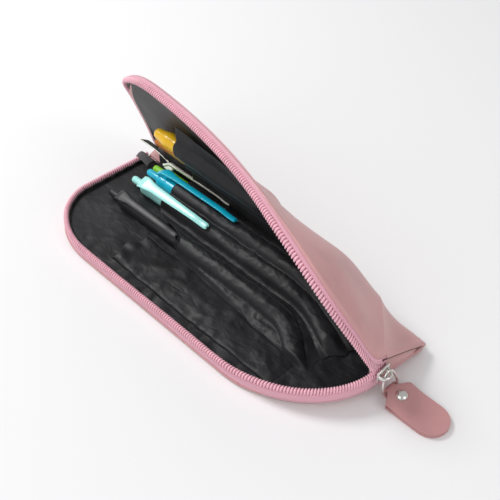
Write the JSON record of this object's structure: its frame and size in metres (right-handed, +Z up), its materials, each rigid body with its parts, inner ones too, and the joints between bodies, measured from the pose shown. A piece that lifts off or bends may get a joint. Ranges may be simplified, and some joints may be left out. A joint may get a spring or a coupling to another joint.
{
  "type": "zip pen case with pens",
  "caption": "Soft leather zip case lying open on its spine, with a toothed coil zip, leather pull, lined pockets, click pens, a marker and a pencil.",
  "frame": {"origin": "middle of the base's underside, on the table", "axes": "+X along the case from its open end to the end that stays shut, +Y to the spine that the lid folds on, +Z up"},
  "size_m": [0.2541, 0.0919, 0.0866],
  "materials": {
    "blue": "gloss",
    "board": "stiffener",
    "coil": "pink nylon coil",
    "cream": "gloss",
    "dark": "gloss",
    "green": "gloss",
    "leather": "smooth dusty rose",
    "mint": "gloss",
    "nickel": "polished nickel",
    "orange": "lacquered",
    "refill": "satin",
    "satin": "black satin",
    "tag_tail": "grey tape",
    "tape": "woven pink tape",
    "yellow": "gloss"
  },
  "bodies": {
    "base": {"base_panel": "leather", "base_board": "board", "base_lining": "satin", "base_zip_tape": "tape", "base_zip_coil": "coil", "base_seam_binding": "leather", "spine_strip": "leather", "end_gusset": "leather", "base_zip_tail": "tag_tail", "pen_channels": "satin", "flat_pocket": "satin", "lid_panel_corner": "leather", "lid_lining_corner": "satin", "lid_tape_corner": "tape", "lid_coil_corner": "coil"},
    "lid_tip": {"lid_panel_tip": "leather", "lid_lining_tip": "satin", "lid_tape_tip": "tape", "lid_coil_tip": "coil", "lid_zip_tail": "satin"},
    "lid_mid": {"lid_panel_mid": "leather", "lid_lining_mid": "satin", "lid_tape_mid": "tape", "lid_coil_mid": "coil", "lid_pocket": "satin"},
    "lid_shoulder": {"lid_panel_shoulder": "leather", "lid_lining_shoulder": "satin", "lid_tape_shoulder": "tape", "lid_coil_shoulder": "coil"},
    "lid_heel": {"lid_panel_heel": "leather", "lid_lining_heel": "satin", "lid_tape_heel": "tape", "lid_coil_heel": "coil"},
    "green_pen": {"green_pen_barrel": "green", "green_pen_refill": "refill", "green_pen_clip": "cream"},
    "green_plunger": {"green_pen_plunger": "green"},
    "blue_pen": {"blue_pen_barrel": "blue", "blue_pen_refill": "refill", "blue_pen_clip": "blue"},
    "blue_plunger": {"blue_pen_plunger": "blue"},
    "mint_pen": {"mint_pen_barrel": "mint", "mint_pen_refill": "refill", "mint_pen_clip": "mint"},
    "mint_plunger": {"mint_pen_plunger": "mint"},
    "dark_pen": {"dark_pen_barrel": "dark", "dark_pen_refill": "refill", "dark_pen_clip": "dark"},
    "dark_plunger": {"dark_pen_plunger": "dark"},
    "marker": {"marker_barrel": "yellow"},
    "marker_cap": {"marker_cap": "yellow"},
    "pencil": {"pencil": "orange"},
    "slider": {"slider_body": "nickel", "slider_bridge": "nickel"},
    "pull_ring": {"pull_ring": "nickel"},
    "pull_tag": {"pull_tag": "leather", "tag_rivet": "nickel"}
  },
  "joints": [
    {"name": "lid_fold", "type": "hinge", "parent": "base", "child": "lid_tip", "pos_m": [0, 0.0405, 0.005], "axis": [-1, 0, 0], "range_deg": [-32, 75]},
    {"name": "lid_mid_fold", "type": "hinge", "parent": "base", "child": "lid_mid", "pos_m": [0, 0.0405, 0.005], "axis": [-1, 0, 0], "range_deg": [-29.32, 68.45]},
    {"name": "lid_shoulder_fold", "type": "hinge", "parent": "base", "child": "lid_shoulder", "pos_m": [0, 0.0405, 0.005], "axis": [-1, 0, 0], "range_deg": [-25.48, 59.45]},
    {"name": "lid_heel_fold", "type": "hinge", "parent": "base", "child": "lid_heel", "pos_m": [0, 0.0405, 0.005], "axis": [-1, 0, 0], "range_deg": [-19.4, 45.2]},
    {"name": "green_pen_slide", "type": "slide", "parent": "base", "child": "green_pen", "axis": [-1, 0, 0], "range_m": [0, 0.01]},
    {"name": "green_pen_click", "type": "slide", "parent": "green_pen", "child": "green_plunger", "axis": [1, 0, 0], "range_m": [0, 0.004], "stiffness_N_per_m": 500},
    {"name": "blue_pen_slide", "type": "slide", "parent": "base", "child": "blue_pen", "axis": [-1, 0, 0], "range_m": [0, 0.01]},
    {"name": "blue_pen_click", "type": "slide", "parent": "blue_pen", "child": "blue_plunger", "axis": [1, 0, 0], "range_m": [0, 0.004], "stiffness_N_per_m": 500},
    {"name": "mint_pen_slide", "type": "slide", "parent": "base", "child": "mint_pen", "axis": [-1, 0, 0], "range_m": [0, 0.01]},
    {"name": "mint_pen_click", "type": "slide", "parent": "mint_pen", "child": "mint_plunger", "axis": [1, 0, 0], "range_m": [0, 0.004], "stiffness_N_per_m": 500},
    {"name": "dark_pen_slide", "type": "slide", "parent": "base", "child": "dark_pen", "axis": [-1, 0, 0], "range_m": [0, 0.01]},
    {"name": "dark_pen_click", "type": "slide", "parent": "dark_pen", "child": "dark_plunger", "axis": [1, 0, 0], "range_m": [0, 0.004], "stiffness_N_per_m": 500},
    {"name": "marker_slide", "type": "slide", "parent": "lid_mid", "child": "marker", "axis": [-0.9981, -0.0281, 0.0557], "range_m": [0, 0.01]},
    {"name": "marker_cap_pull", "type": "slide", "parent": "marker", "child": "marker_cap", "axis": [-0.9981, -0.0281, 0.0557], "range_m": [0, 0.008]},
    {"name": "pencil_slide", "type": "slide", "parent": "lid_mid", "child": "pencil", "axis": [-0.9981, -0.0281, 0.0557], "range_m": [0, 0.01]},
    {"name": "slider_run", "type": "hinge", "parent": "base", "child": "slider", "pos_m": [0.0625, 0.0045, 0.0087], "axis": [-0.1564, 0, 0.9877], "range_deg": [-30, 0]},
    {"name": "ring_swing", "type": "hinge", "parent": "slider", "child": "pull_ring", "pos_m": [0.11125, 0.004, 0.01583], "axis": [0, -0.7071, -0.7071], "range_deg": [-8, 24]},
    {"name": "tag_swing", "type": "hinge", "parent": "pull_ring", "child": "pull_tag", "pos_m": [0.1124, 0.0085, 0.00235], "axis": [0, 1, 0], "range_deg": [-38, 30]}
  ],
  "couplings": [
    {"joint": "lid_mid_fold", "follows": "lid_fold", "ratio": 0.91},
    {"joint": "lid_shoulder_fold", "follows": "lid_fold", "ratio": 0.79},
    {"joint": "lid_heel_fold", "follows": "lid_fold", "ratio": 0.6}
  ]
}
